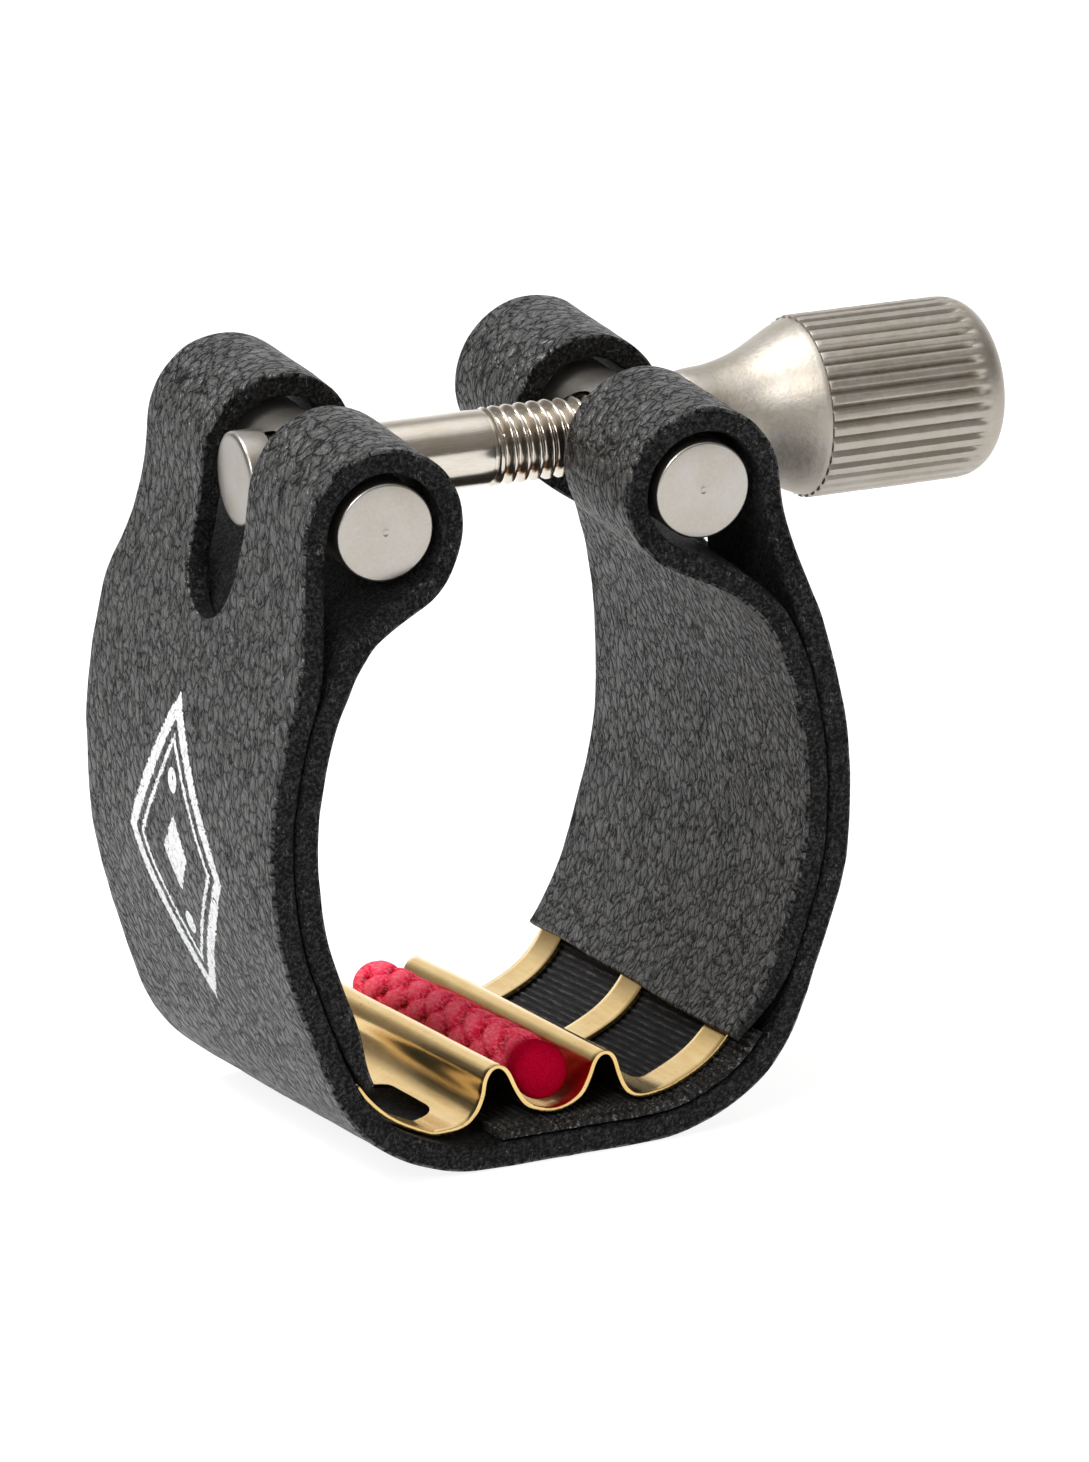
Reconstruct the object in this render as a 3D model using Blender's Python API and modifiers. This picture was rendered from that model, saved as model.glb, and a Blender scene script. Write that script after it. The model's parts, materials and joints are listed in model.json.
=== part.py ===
"""Saxophone ligature: a leather strap that a thumb screw closes round a mouthpiece and reed.

Frame: +X runs along the screw from its end cap to its knob, +Y runs along the mouthpiece towards
its shank, +Z is up. The origin is the middle of the strap's flat underside. Units are metres.
The strap is narrower in girth at the front (-Y) than at the rear, because a mouthpiece tapers,
so the two pins that the screw passes through are pitched: their rear ends stand higher.
"""

import bpy
import bmesh
import math
from mathutils import Matrix, Vector

MM = 0.001

# Pins and screw. A tenon or socket is (the x of its blind end, its radius).
PIN_SPACING = 16.92 * MM
PIN_HEIGHT = 34.75 * MM
PIN_CENTRE_Y = -4.95 * MM
PIN_DIAMETER = 5.0 * MM
PIN_LENGTH = 21.7 * MM
PIN_PITCH = math.radians(9.0)
BORE_DIAMETER = 4.3 * MM
SHANK_DIAMETER = 3.9 * MM
THREAD_DIAMETER = 4.0 * MM
THREAD_PITCH = 0.7 * MM
THREAD_DEPTH = 0.42 * MM
THREAD_START_X = 1.4 * MM
# Shares of a pitch: where the crest's flat ends, and where the root lies.
THREAD_CREST_END = 0.12
THREAD_ROOT = 0.56
ROD_LEFT_X = -10.2 * MM
ROD_RIGHT_X = 11.7 * MM
CAP_FACE_X = -12.2 * MM
CAP_SEAT_X = -10.6 * MM
CAP_DIAMETER = 4.8 * MM
CAP_BEVEL = 0.2 * MM
CAP_TENON = (-11.55 * MM, 1.2 * MM)
CAP_SOCKET = (-11.75 * MM, 1.4 * MM)
KNOB_TENON = (19.6 * MM, 1.6 * MM)
KNOB_SOCKET = (19.9 * MM, 1.8 * MM)
KNOB_FACE_X = 12.0 * MM
KNURL_START_X = 18.6 * MM
KNURL_END_X = 27.0 * MM
KNOB_END_X = 29.2 * MM
KNOB_DIAMETER = 9.4 * MM
KNURL_RIBS = 36
KNURL_DEPTH = 0.24 * MM
KNOB_DOME_INSET = 2.6 * MM
KNOB_END_FLAT_RADIUS = 0.9 * MM

# Strap.
LEATHER = 1.2 * MM
BASE_LEATHER = 1.35 * MM
LAYER_GAP = 0.1 * MM
LOOP_RADIUS = 4.16 * MM
SPLIT_GAP = 0.3 * MM
KNUCKLE_HALF_WIDTH = 10.86 * MM
FRONT_FLARE = 3.2 * MM
REAR_FLARE = 2.2 * MM
SLOT_WIDTH = 6.2 * MM
OUTER_SLOT_DEPTH = 7.0 * MM
INNER_SLOT_DEPTH = 3.2 * MM
WEBBING = 0.45 * MM
WEBBING_INSET = 0.3 * MM
WEBBING_RIGHT_GAP = 0.4 * MM
WEBBING_LEFT_GAP = 9.1 * MM
LINING_TOP = 24.4 * MM

# Reed plate and cushion cord.
SHEET = 0.28 * MM
PLATE_FRONT_Y = -12.4 * MM
PLATE_REAR_Y = 12.5 * MM
FINGER_WIDTH = 2.8 * MM
FINGER_ROOT_X = 5.6 * MM
LEFT_BEND_X = -6.6 * MM
WINDOW_X = (-10.2 * MM, -5.2 * MM)
CORD_DIAMETER = 2.9 * MM
CORD_LENGTH = 23.4 * MM
CORD_END_ROUND = 0.8 * MM
CORD_CENTRE = (-0.2 * MM, 4.0 * MM)

# The right half of the strap's outer face, from the flat underside up to the pin's loop (x, height).
OUTER_SIDE = [
    (4.0, 0.0), (5.7, 0.12), (7.4, 0.55), (9.6, 1.65), (11.3, 3.2), (12.5, 5.2), (13.5, 7.9),
    (14.25, 10.1), (14.95, 12.6), (15.4, 14.8), (15.62, 17.2), (15.62, 19.8), (15.38, 22.3),
    (15.0, 24.4), (14.5, 26.4), (13.95, 28.4), (13.4, 30.5), (12.95, 32.4), (12.65, 34.2),
]
# The middle of the leather where it leaves the loop and folds back to line the side (x, height).
FOLD_BACK = [(8.8, 30.75), (10.2, 29.95), (11.35, 28.8), (12.15, 27.3), (12.75, 25.6)]
LOOP_START = math.radians(4.0)
LOOP_END = math.radians(250.0)
# The point of OUTER_SIDE where the arm is joined to the base.
SPLIT_INDEX = 5
# The middle of the reed plate's sheet over its two ridges and the trough between (x, height).
PLATE_RIDGES = [
    (-5.3, 2.12), (-4.5, 2.62), (-4.02, 3.45), (-3.8, 4.3), (-3.42, 4.82), (-2.95, 4.88),
    (-2.55, 4.45), (-2.2, 3.6), (-1.7, 2.78), (-0.95, 2.36), (-0.2, 2.22), (0.6, 2.38),
    (1.35, 2.85), (1.85, 3.65), (2.15, 4.3), (2.5, 4.68), (2.95, 4.7), (3.25, 4.3),
    (3.45, 3.5), (3.75, 2.75), (4.2, 2.32), (4.8, 2.2),
]

# The knob's neck and flare, from its face to the knurl (x, radius).
KNOB_FLARE = [
    (12.0, 2.35), (12.3, 2.62), (13.4, 2.7), (14.4, 2.84), (15.5, 3.12), (16.5, 3.55),
    (17.4, 4.05), (18.2, 4.42),
]

COLLECTION = "saxophone_ligature"


def clear_scene():
    for obj in list(bpy.data.objects):
        bpy.data.objects.remove(obj, do_unlink=True)


def new_collection(name):
    collection = bpy.data.collections.new(name)
    bpy.context.scene.collection.children.link(collection)
    return collection


def new_material(name, colour, roughness, metallic):
    material = bpy.data.materials.new(name)
    material.use_nodes = True
    shader = material.node_tree.nodes["Principled BSDF"]
    shader.inputs["Base Color"].default_value = (*colour, 1.0)
    shader.inputs["Roughness"].default_value = roughness
    shader.inputs["Metallic"].default_value = metallic
    return material


def smooth_step(value, low, high):
    t = min(max((value - low) / (high - low), 0.0), 1.0)
    return t * t * (3.0 - 2.0 * t)


def catmull_rom(points, per_span):
    """A smooth line through the points, with per_span steps from each point to the next."""
    padded = [2 * points[0] - points[1], *points, 2 * points[-1] - points[-2]]
    line = []
    for a, b, c, d in zip(padded, padded[1:], padded[2:], padded[3:]):
        for step in range(per_span):
            t = step / per_span
            line.append(
                0.5 * (2 * b + (c - a) * t + (2 * a - 5 * b + 4 * c - d) * t * t
                       + (3 * b - a - 3 * c + d) * t ** 3)
            )
    line.append(points[-1].copy())
    return line


def millimetres(points):
    return [Vector(point) * MM for point in points]


def left_normals(line):
    """The unit normal on the left of each point's direction of travel."""
    normals = []
    for index in range(len(line)):
        before = line[max(index - 1, 0)]
        after = line[min(index + 1, len(line) - 1)]
        along = (after - before).normalized()
        normals.append(Vector((-along.y, along.x)))
    return normals


def offset_line(line, distance):
    """The line moved to the left of its direction of travel by the distance."""
    return [point + normal * distance for point, normal in zip(line, left_normals(line))]


def trim_end(line, length):
    """The line without the given length at its last end."""
    line = [point.copy() for point in line]
    while len(line) > 2 and (line[-1] - line[-2]).length < length:
        length -= (line[-1] - line[-2]).length
        line.pop()
    along = line[-2] - line[-1]
    line[-1] = line[-1] + along.normalized() * length
    return line


def pitch_at(height):
    """How far the strap's edge-to-edge lines are pitched: none at the base, the pins' at the top."""
    return PIN_PITCH * smooth_step(height, 4 * MM, 27 * MM)


def taper_at(height):
    """The share of the flare that fades evenly up the side, from 1 at the bottom to 0."""
    return 1.0 - min(max((height - 5 * MM) / (22 * MM), 0.0), 1.0)


def front_reach(height):
    """How far the strap reaches forward of its middle line; it narrows to the loops' knuckles."""
    shoulder = 1.0 - smooth_step(height, 27.5 * MM, 34 * MM)
    return KNUCKLE_HALF_WIDTH + FRONT_FLARE * (0.72 * shoulder + 0.28 * taper_at(height))


def rear_reach(height):
    shoulder = 1.0 - smooth_step(height, 26 * MM, 30.5 * MM)
    return KNUCKLE_HALF_WIDTH + REAR_FLARE * (0.64 * shoulder + 0.36 * taper_at(height))


def strap_point(x, height, reach):
    """The place of a profile point, at a distance along the strap's width from its middle line."""
    middle_y = PIN_CENTRE_Y + math.tan(PIN_PITCH) * (PIN_HEIGHT - height)
    pitch = pitch_at(height)
    return Vector((x, middle_y + reach * math.cos(pitch), height + reach * math.sin(pitch)))


def add_object(name, mesh, material, collection, origin=None):
    """Adds a mesh given in world space, with the object's origin at the given point."""
    if origin is not None:
        mesh.transform(Matrix.Translation(-Vector(origin)))
    obj = bpy.data.objects.new(name, mesh)
    if origin is not None:
        obj.location = origin
    obj.data.materials.append(material)
    collection.objects.link(obj)
    return obj


def mesh_from(name, points, faces):
    mesh = bpy.data.meshes.new(name)
    mesh.from_pydata(points, [], faces)
    work = bmesh.new()
    work.from_mesh(mesh)
    bmesh.ops.recalc_face_normals(work, faces=work.faces)
    work.to_mesh(mesh)
    work.free()
    return mesh


def loft(name, sections):
    """A closed solid through sections with the same number of points, with flat end faces."""
    count = len(sections[0])
    points = [point for section in sections for point in section]
    faces = [tuple(range(count)), tuple(range(len(points) - count, len(points)))]
    for start in range(0, len(points) - count, count):
        for corner in range(count):
            following = (corner + 1) % count
            faces.append((start + corner, start + following,
                          start + count + following, start + count + corner))
    return mesh_from(name, points, faces)


def ribbon(name, line, thickness, front=front_reach, rear=rear_reach):
    """A strip of even thickness that follows the profile line, as wide as the strap is there."""
    sections = []
    for outer, inner in zip(offset_line(line, thickness / 2), offset_line(line, -thickness / 2)):
        sections.append([
            strap_point(outer.x, outer.y, -front(outer.y)),
            strap_point(outer.x, outer.y, rear(outer.y)),
            strap_point(inner.x, inner.y, rear(inner.y)),
            strap_point(inner.x, inner.y, -front(inner.y)),
        ])
    return loft(name, sections)


def mirrored(line, side):
    return [Vector((side * point.x, point.y)) for point in line]


def outer_face():
    """The strap's outer face on the right, from the underside to the loop."""
    return catmull_rom(millimetres(OUTER_SIDE), 2)


def split_normal():
    line = outer_face()
    return left_normals(line)[2 * SPLIT_INDEX]


def flex_point(side):
    """Where an arm of the strap bends: the middle of the outer layer at the lining's end."""
    point = outer_face()[2 * SPLIT_INDEX] + split_normal() * BASE_LEATHER / 2
    return strap_point(side * point.x, point.y, 0.0)


def pin_point(side):
    return Vector((side * PIN_SPACING / 2, PIN_CENTRE_Y, PIN_HEIGHT))


def arm_line(side):
    """The middle of the leather: up the outside, round the pin and back down as the lining."""
    face = outer_face()[2 * SPLIT_INDEX:]
    outside = offset_line(face, LEATHER / 2)
    centre = Vector((PIN_SPACING / 2, PIN_HEIGHT))
    radius = LOOP_RADIUS - LEATHER / 2
    steps = 15
    loop = []
    for step in range(steps + 1):
        angle = LOOP_START + (LOOP_END - LOOP_START) * step / steps
        loop.append(centre + radius * Vector((math.cos(angle), math.sin(angle))))
    inside = offset_line(face, 1.5 * LEATHER + LAYER_GAP)
    inside = [point for point in inside if point.y < LINING_TOP][::-1]
    bridge = catmull_rom([loop[-1], *millimetres(FOLD_BACK), inside[0]], 2)
    line = outside + loop + bridge[1:-1] + inside
    line = [line[0] + (line[1] - line[0]).normalized() * SPLIT_GAP / 2, *line[1:]]
    return mirrored(trim_end(line, SPLIT_GAP / 2), side)


def base_half(depth, end_gap):
    """The right half of a line across the bottom, at a depth, that ends short of the split."""
    return trim_end(offset_line(outer_face()[:2 * SPLIT_INDEX + 1], depth), end_gap)


def base_line(depth, left_gap, right_gap):
    """A line across the bottom, at a depth inside the outer face, that ends short of each split."""
    return mirrored(base_half(depth, left_gap), -1)[::-1] + base_half(depth, right_gap)


def cut(obj, cutter):
    modifier = obj.modifiers.new("cut_" + cutter.name, "BOOLEAN")
    modifier.operation = "DIFFERENCE"
    modifier.solver = "EXACT"
    modifier.object = cutter


def hide_cutter(obj):
    obj.hide_render = True
    obj.display_type = "WIRE"
    return obj


def pitched():
    return Matrix.Rotation(PIN_PITCH, 4, "X")


def slot_cutter(name, side, depth, inner, collection):
    """A round-ended prism along X, as wide as the slot between a loop's two knuckles."""
    radius = SLOT_WIDTH / 2
    outline = [(-radius, 8 * MM), (-radius, radius - depth)]
    steps = 10
    for step in range(1, steps):
        angle = math.pi + math.pi * step / steps
        outline.append((radius * math.cos(angle), radius - depth + radius * math.sin(angle)))
    outline += [(radius, radius - depth), (radius, 8 * MM)]
    near, far = (-8 * MM, 0.0) if inner else (-1 * MM, 8 * MM)
    sections = [[Vector((side * x, y, z)) for y, z in outline] for x in (near, far)]
    mesh = loft(name, sections)
    mesh.transform(Matrix.Translation(pin_point(side)) @ pitched())
    obj = bpy.data.objects.new(name, mesh)
    collection.objects.link(obj)
    return hide_cutter(obj)


def add_arm(side, name, leather, parts, cutters):
    mesh = ribbon(name, arm_line(side), LEATHER)
    arm = add_object(name, mesh, leather, parts, flex_point(side))
    cut(arm, slot_cutter(name + "_outer_slot", side, OUTER_SLOT_DEPTH, False, cutters))
    cut(arm, slot_cutter(name + "_inner_slot", side, INNER_SLOT_DEPTH, True, cutters))
    return arm


def add_base(leather, webbing, parts):
    line = base_line(BASE_LEATHER / 2, SPLIT_GAP / 2, SPLIT_GAP / 2)
    add_object("strap_base", ribbon("strap_base", line, BASE_LEATHER), leather, parts)

    def front(height):
        return front_reach(height) - WEBBING_INSET

    def rear(height):
        return rear_reach(height) - WEBBING_INSET

    depth = BASE_LEATHER + LAYER_GAP + WEBBING / 2
    line = base_line(depth, WEBBING_LEFT_GAP, WEBBING_RIGHT_GAP)
    add_object("webbing_pad", ribbon("webbing_pad", line, WEBBING, front, rear), webbing, parts)


def cylinder(name, radius, length, segments, collection):
    """A cylinder along X, centred on the world origin, with its transform applied."""
    bpy.ops.mesh.primitive_cylinder_add(vertices=segments, radius=radius, depth=length)
    obj = bpy.context.active_object
    obj.name = name
    obj.data.name = name
    obj.data.transform(Matrix.Rotation(math.pi / 2, 4, "Y"))
    for owner in list(obj.users_collection):
        owner.objects.unlink(obj)
    collection.objects.link(obj)
    return obj


def add_pin(side, name, metal, parts, cutters):
    """A barrel pin, cross-bored for the screw; the left one has a flat where the end cap seats."""
    pin = cylinder(name, PIN_DIAMETER / 2, PIN_LENGTH, 40, parts)
    pin.data.transform(Matrix.Rotation(math.pi / 2, 4, "Z"))
    pin.data.transform(pitched())
    pin.location = pin_point(side)
    pin.data.materials.append(metal)
    pin.data.shade_smooth()
    pin.data.set_sharp_from_angle(angle=math.radians(40))
    bore = cylinder(name + "_bore", BORE_DIAMETER / 2, 2 * PIN_DIAMETER, 24, cutters)
    bore.location = pin_point(side)
    cut(pin, hide_cutter(bore))
    if side < 0:
        seat = cylinder(name + "_seat", CAP_DIAMETER / 2 + 0.25 * MM, 2 * MM, 32, cutters)
        seat.location = pin_point(side)
        seat.location.x = CAP_SEAT_X - 0.8 * MM
        cut(pin, hide_cutter(seat))
    return pin


def turned(name, profile, segments, material, collection):
    """A turned piece about the screw's axis, from (x, radius) points that start on the axis."""
    mesh = bpy.data.meshes.new(name)
    points = [(radius, 0.0, x) for x, radius in profile]
    mesh.from_pydata(points, [(index, index + 1) for index in range(len(points) - 1)], [])
    obj = bpy.data.objects.new(name, mesh)
    collection.objects.link(obj)
    screw = obj.modifiers.new("turn", "SCREW")
    screw.steps = segments
    screw.render_steps = segments
    screw.use_merge_vertices = True
    screw.merge_threshold = 0.00001
    screw.use_smooth_shade = True
    obj.rotation_euler = (0.0, math.pi / 2, 0.0)
    obj.location = (0.0, PIN_CENTRE_Y, PIN_HEIGHT)
    mesh.materials.append(material)
    return obj


def add_cap(metal, parts):
    """The cap on the screw's left end, bored to take the rod's tenon."""
    radius = CAP_DIAMETER / 2
    socket_x, socket_radius = CAP_SOCKET
    profile = [
        (socket_x, 0.0),
        (socket_x, socket_radius),
        (CAP_SEAT_X, socket_radius),
        (CAP_SEAT_X, radius - CAP_BEVEL),
        (CAP_SEAT_X - CAP_BEVEL, radius),
        (CAP_FACE_X + CAP_BEVEL, radius),
        (CAP_FACE_X, radius - CAP_BEVEL),
        (CAP_FACE_X, 0.0),
    ]
    turned("screw_end_cap", profile, 32, metal, parts)


def knob_profile():
    """(x, radius, knurl share) of the knob, from the socket round the outside to the domed end."""
    radius = KNOB_DIAMETER / 2
    rows = [(x * MM, r * MM, 0.0) for x, r in KNOB_FLARE]
    rows.append((KNURL_START_X, radius, 1.0))
    rows.append((KNURL_END_X, radius, 1.0))
    dome = KNOB_END_X - KNURL_END_X
    for step in range(1, 6):
        angle = math.radians(90) * step / 6
        rows.append((KNURL_END_X + dome * math.sin(angle),
                     radius - KNOB_DOME_INSET * (1 - math.cos(angle)), 0.0))
    rows.append((KNOB_END_X, KNOB_END_FLAT_RADIUS, 0.0))
    return rows


def add_knob(metal, parts):
    """The thumb knob: a flared neck, a ring of straight knurl ribs and a domed end."""
    segments = 2 * KNURL_RIBS
    socket_x, socket_radius = KNOB_SOCKET
    rows = [(socket_x, socket_radius, 0.0), (KNOB_FACE_X, socket_radius, 0.0)] + knob_profile()
    sections = []
    for x, radius, knurl in rows:
        section = []
        for segment in range(segments):
            angle = 2 * math.pi * segment / segments
            reach = radius - KNURL_DEPTH * knurl * (segment % 2)
            section.append(Vector((x, PIN_CENTRE_Y + reach * math.cos(angle),
                                   PIN_HEIGHT + reach * math.sin(angle))))
        sections.append(section)
    origin = (0.0, PIN_CENTRE_Y, PIN_HEIGHT)
    add_object("thumb_knob", loft("thumb_knob", sections), metal, parts, origin)


def helix_rows(radius):
    """(x, radius) at angle zero of each helical row: crest start, crest end and root, per pitch."""
    rows = []
    turns = int((ROD_RIGHT_X - THREAD_START_X) / THREAD_PITCH) - 1
    for turn in range(turns):
        rows.append((THREAD_START_X + turn * THREAD_PITCH, radius))
        rows.append((THREAD_START_X + (turn + THREAD_CREST_END) * THREAD_PITCH, radius))
        rows.append((THREAD_START_X + (turn + THREAD_ROOT) * THREAD_PITCH, radius - THREAD_DEPTH))
    rows.append((THREAD_START_X + turns * THREAD_PITCH, radius))
    return rows


def add_rod(metal, parts):
    """The rod: a tenon for the cap, a smooth shank, a right-hand thread and a tenon for the knob.

    The thread's rows follow its helix, so each row runs on into the row one pitch further along.
    """
    columns = 20
    per_pitch = 3
    shank = SHANK_DIAMETER / 2
    thread = THREAD_DIAMETER / 2
    rows = helix_rows(thread)
    first_x, last_x = rows[0][0], rows[-1][0]
    work = bmesh.new()

    def vertex(x, radius, column):
        angle = 2 * math.pi * column / columns
        return work.verts.new((x, -radius * math.sin(angle), radius * math.cos(angle)))

    def ring(x, radius):
        return [vertex(x, radius, column) for column in range(columns)]

    def join(near, far):
        for column in range(columns):
            following = (column + 1) % columns
            work.faces.new((near[column], near[following], far[following], far[column]))

    before = [
        ring(*CAP_TENON),
        ring(ROD_LEFT_X, CAP_TENON[1]),
        ring(ROD_LEFT_X, shank),
        ring(first_x - 0.15 * MM, shank),
        ring(first_x - 0.05 * MM, thread),
    ]
    after = [
        ring(ROD_RIGHT_X - 0.1 * MM, thread),
        ring(ROD_RIGHT_X, KNOB_TENON[1]),
        ring(*KNOB_TENON),
    ]
    grid = []
    for x, radius in rows:
        line = []
        for column in range(columns):
            place = x + THREAD_PITCH * column / columns
            room = min(place - first_x, last_x - place) / THREAD_PITCH
            depth = (thread - radius) * min(max(room, 0.0), 1.0)
            line.append(vertex(place, thread - depth, column))
        grid.append(line)
    for index in range(len(grid) - 1):
        for column in range(columns - 1):
            work.faces.new((grid[index][column], grid[index][column + 1],
                            grid[index + 1][column + 1], grid[index + 1][column]))
    for index in range(len(grid) - 1 - per_pitch):
        work.faces.new((grid[index][-1], grid[index + per_pitch][0],
                        grid[index + per_pitch + 1][0], grid[index + 1][-1]))
    start, end = before[-1], after[0]
    for column in range(columns - 1):
        work.faces.new((start[column], start[column + 1], grid[0][column + 1], grid[0][column]))
        work.faces.new((grid[-1][column], grid[-1][column + 1], end[column + 1], end[column]))
    seam = [row[0] for row in grid[:per_pitch + 1]]
    work.faces.new((grid[0][-1], start[-1], start[0], *seam))
    seam = [row[-1] for row in grid[-1 - per_pitch:]]
    work.faces.new((grid[-1][0], *seam, end[-1], end[0]))
    for near, far in zip(before, before[1:]):
        join(near, far)
    for near, far in zip(after, after[1:]):
        join(near, far)
    work.faces.new(before[0])
    work.faces.new(after[-1])
    bmesh.ops.recalc_face_normals(work, faces=work.faces)
    mesh = bpy.data.meshes.new("screw_rod")
    work.to_mesh(mesh)
    work.free()
    rod = add_object("screw_rod", mesh, metal, parts)
    rod.location = (0.0, PIN_CENTRE_Y, PIN_HEIGHT)


def plate_line():
    """The middle line: up the left bend on the leather, over both ridges, up the webbing's bend."""
    on_leather = BASE_LEATHER + LAYER_GAP + SHEET / 2
    on_webbing = on_leather + WEBBING + LAYER_GAP
    bend = [point for point in base_half(on_webbing, SPLIT_GAP) if point.x > FINGER_ROOT_X]
    left = mirrored(base_half(on_leather, SPLIT_GAP), -1)[::-1]
    left = [point for point in left if point.x < LEFT_BEND_X]
    ridges = millimetres(PLATE_RIDGES)
    return catmull_rom([left[-1], *ridges, bend[0]], 2), left, bend


def sheet_mesh(name, line, low, high):
    sections = []
    for top, under in zip(offset_line(line, SHEET / 2), offset_line(line, -SHEET / 2)):
        sections.append([
            Vector((top.x, low, top.y)),
            Vector((top.x, high, top.y)),
            Vector((under.x, high, under.y)),
            Vector((under.x, low, under.y)),
        ])
    return loft(name, sections)


def block(name, low, high, collection):
    """A box cutter between two corners."""
    work = bmesh.new()
    bmesh.ops.create_cube(work, size=1.0)
    mesh = bpy.data.meshes.new(name)
    work.to_mesh(mesh)
    work.free()
    low, high = Vector(low), Vector(high)
    mesh.transform(Matrix.Translation((low + high) / 2) @ Matrix.Diagonal((*(high - low), 1.0)))
    obj = bpy.data.objects.new(name, mesh)
    collection.objects.link(obj)
    return hide_cutter(obj)


def finger_gaps():
    """The two spaces between the three fingers, as (low y, high y)."""
    middle = (PLATE_FRONT_Y + PLATE_REAR_Y) / 2
    return [
        (PLATE_FRONT_Y + FINGER_WIDTH, middle - FINGER_WIDTH / 2),
        (middle + FINGER_WIDTH / 2, PLATE_REAR_Y - FINGER_WIDTH),
    ]


def add_plate(brass, parts, cutters):
    """The reed plate: one bent sheet with two ridges, three fingers and two windows."""
    ridges, left, bend = plate_line()
    line = left[:-1] + ridges + bend[1:]
    mesh = sheet_mesh("reed_plate", line, PLATE_FRONT_Y, PLATE_REAR_Y)
    plate = add_object("reed_plate", mesh, brass, parts)
    for index, (low, high) in enumerate(finger_gaps()):
        for name, (left_x, right_x) in (("finger_gap", (FINGER_ROOT_X, 16 * MM)), ("window", WINDOW_X)):
            cut(plate, block(f"{name}_{index}", (left_x, low, 1 * MM), (right_x, high, 9 * MM), cutters))
    return plate


def add_cord(red, parts):
    """The cushion cord that lies in the trough between the ridges, with rounded ends."""
    radius = CORD_DIAMETER / 2
    half = CORD_LENGTH / 2
    x, height = CORD_CENTRE
    sections = []
    for end in (-1, 1):
        angles = [78, 58, 34, 0] if end < 0 else [0, 34, 58, 78]
        for degrees in angles:
            angle = math.radians(degrees)
            y = end * (half - CORD_END_ROUND * (1 - math.sin(angle)))
            reach = radius - CORD_END_ROUND * (1 - math.cos(angle))
            sections.append([
                Vector((x + reach * math.cos(math.tau * step / 16), y,
                        height + reach * math.sin(math.tau * step / 16)))
                for step in range(16)
            ])
    cord = add_object("cushion_cord", loft("cushion_cord", sections), red, parts)
    cord.data.shade_smooth()
    cord.data.set_sharp_from_angle(angle=math.radians(60))


def main():
    clear_scene()
    parts = new_collection(COLLECTION)
    cutters = new_collection(COLLECTION + "_cutters")
    leather = new_material("black_leather", (0.035, 0.035, 0.037), 0.55, 0.0)
    webbing = new_material("black_webbing", (0.012, 0.012, 0.012), 0.85, 0.0)
    brass = new_material("pale_brass", (0.78, 0.60, 0.33), 0.28, 1.0)
    red = new_material("crimson_cord", (0.62, 0.03, 0.09), 0.7, 0.0)
    nickel = new_material("satin_nickel", (0.70, 0.66, 0.61), 0.32, 1.0)
    add_base(leather, webbing, parts)
    add_plate(brass, parts, cutters)
    add_cord(red, parts)
    for side, label in ((-1, "left"), (1, "right")):
        add_arm(side, f"strap_{label}_arm", leather, parts, cutters)
        add_pin(side, f"{label}_pin", nickel, parts, cutters)
    add_rod(nickel, parts)
    add_cap(nickel, parts)
    add_knob(nickel, parts)


main()
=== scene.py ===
"""Looks for the saxophone ligature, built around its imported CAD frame.

Shapes are worked out in millimetres in the CAD's frame and scaled to metres when a mesh is made:
+X runs along the screw to its knob, +Y along the mouthpiece away from the viewer, +Z up.
"""

import json
import math

import bmesh
import bpy
import numpy as np
from mathutils import Matrix, Vector, noise


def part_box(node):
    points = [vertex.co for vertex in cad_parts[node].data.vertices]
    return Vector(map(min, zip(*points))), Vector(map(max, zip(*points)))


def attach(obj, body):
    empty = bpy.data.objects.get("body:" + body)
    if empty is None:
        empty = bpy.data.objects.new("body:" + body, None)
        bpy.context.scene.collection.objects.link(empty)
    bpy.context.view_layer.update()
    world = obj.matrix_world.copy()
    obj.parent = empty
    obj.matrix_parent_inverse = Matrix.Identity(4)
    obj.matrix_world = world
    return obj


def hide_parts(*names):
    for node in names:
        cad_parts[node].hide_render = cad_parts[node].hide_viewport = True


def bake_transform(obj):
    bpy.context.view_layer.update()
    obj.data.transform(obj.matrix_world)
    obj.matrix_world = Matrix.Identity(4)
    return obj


MM = 0.001
NOISE_SEED = 7

# The pins' places and lean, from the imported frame.
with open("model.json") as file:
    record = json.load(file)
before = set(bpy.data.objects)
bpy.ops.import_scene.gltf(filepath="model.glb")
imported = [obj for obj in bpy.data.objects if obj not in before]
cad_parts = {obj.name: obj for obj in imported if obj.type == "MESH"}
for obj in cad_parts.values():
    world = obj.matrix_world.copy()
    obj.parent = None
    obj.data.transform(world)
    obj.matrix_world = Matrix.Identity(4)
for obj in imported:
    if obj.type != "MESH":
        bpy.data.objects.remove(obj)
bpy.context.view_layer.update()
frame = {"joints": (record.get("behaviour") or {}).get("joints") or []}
joints = {joint["name"]: joint for joint in frame["joints"]}
swivel = joints["right_pin_swivel"]
PIN_X = swivel["pos_m"][0] / MM
PIN_CENTRE_Y = swivel["pos_m"][1] / MM
PIN_HEIGHT = swivel["pos_m"][2] / MM
PIN_PITCH = math.atan2(swivel["axis"][2], swivel["axis"][1])
SCREW_CENTRE = (0.0, PIN_CENTRE_Y, PIN_HEIGHT)

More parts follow.
